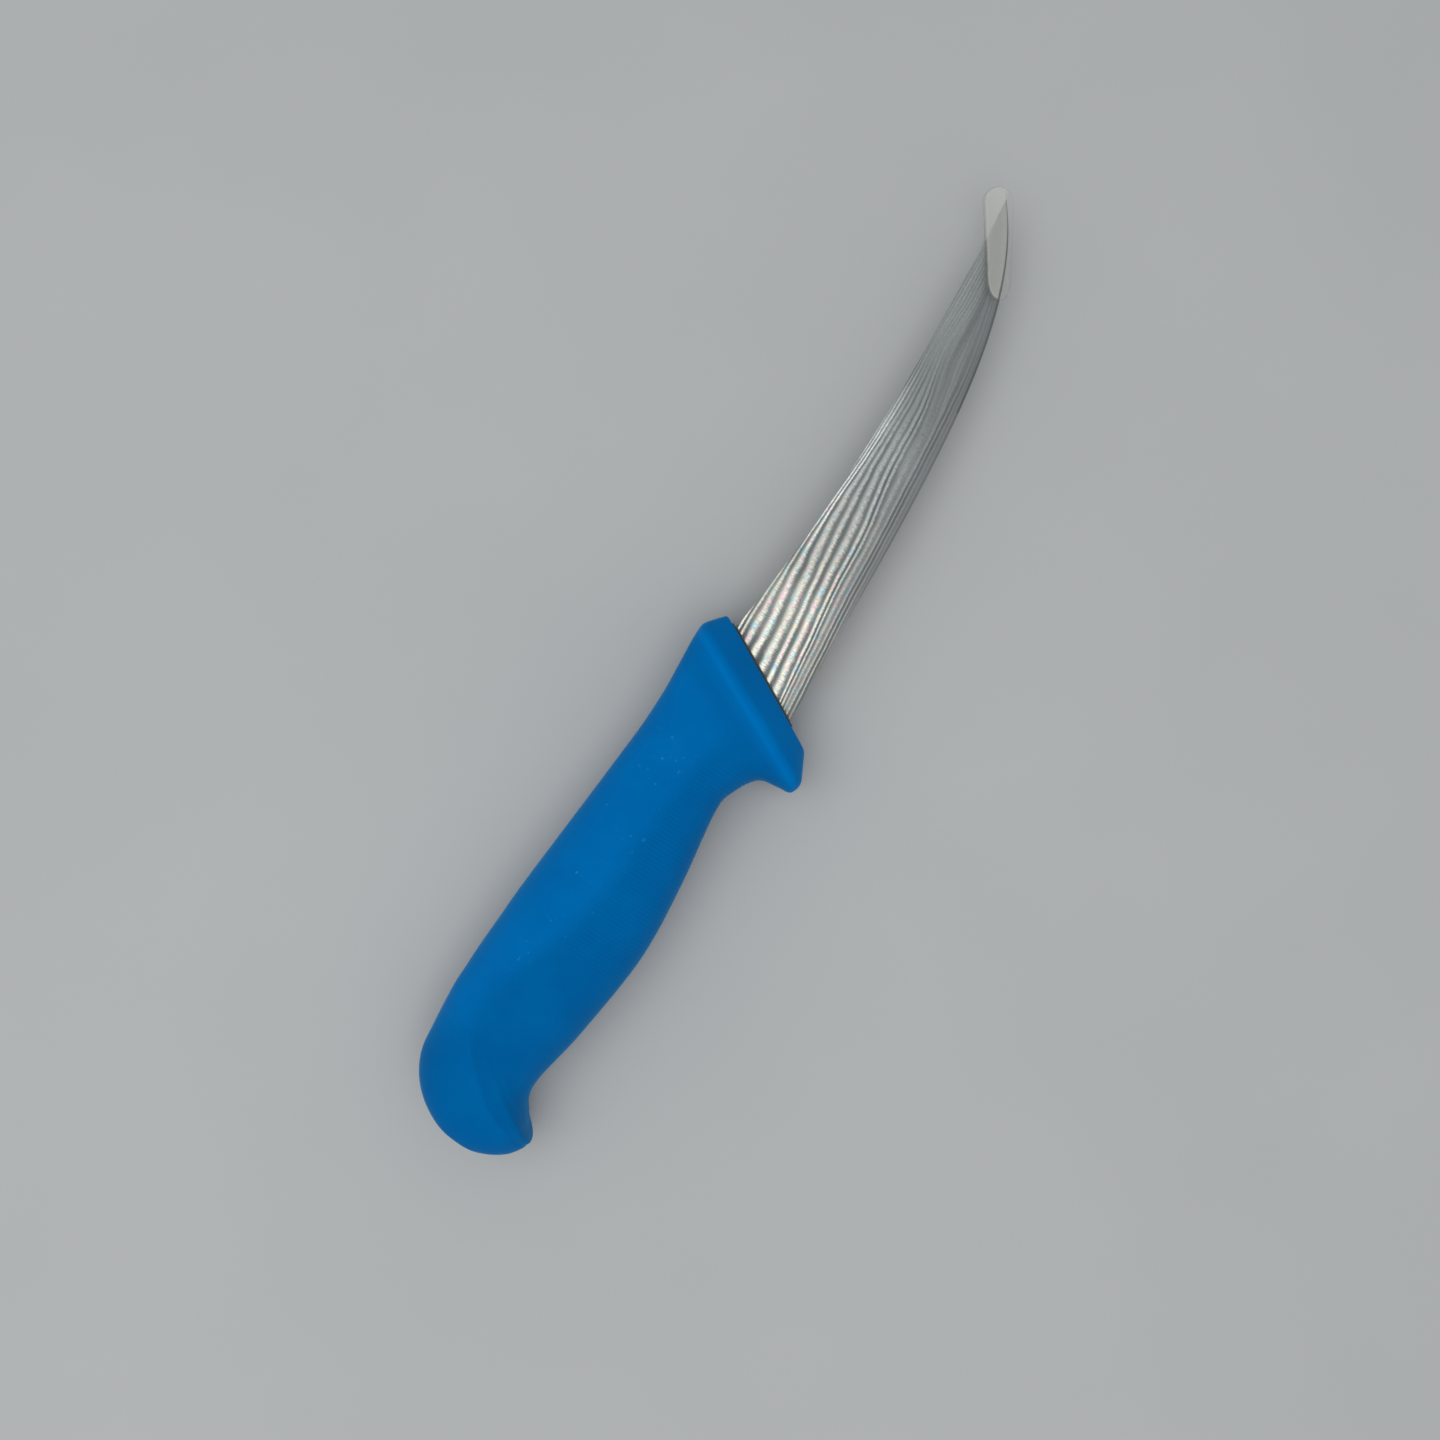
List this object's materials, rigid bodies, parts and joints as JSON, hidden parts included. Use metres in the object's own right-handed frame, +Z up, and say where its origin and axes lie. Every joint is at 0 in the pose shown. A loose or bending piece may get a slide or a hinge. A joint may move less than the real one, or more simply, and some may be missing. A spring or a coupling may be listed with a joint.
{
  "type": "boning knife",
  "caption": "Butcher's boning knife with an upswept blade, a moulded handle with guard and hooked butt, and a clear push-on tip guard.",
  "frame": {"origin": "middle of the footprint of the knife lying on its side, on the surface it lies on", "axes": "+X towards the point, +Y towards the spine of the blade, +Z up, square to the blade's side"},
  "size_m": [0.2646, 0.0442, 0.0214],
  "materials": {
    "steel": "cross-ground steel with fine layered bands along the blade",
    "dark_plastic": "dull black moulding",
    "blue_plastic": "matt moulding with fine cross ribs on the grip",
    "clear_plastic": "clear, slightly milky"
  },
  "bodies": {
    "knife": {"blade": "steel", "handle_core": "dark_plastic", "handle_grip": "blue_plastic"},
    "tip_guard": {"tip_guard": "clear_plastic"}
  },
  "joints": [
    {"name": "tip_guard_slide", "type": "slide", "parent": "knife", "child": "tip_guard", "axis": [0.8387, 0.5446, 0], "range_m": [0, 0.03]}
  ]
}
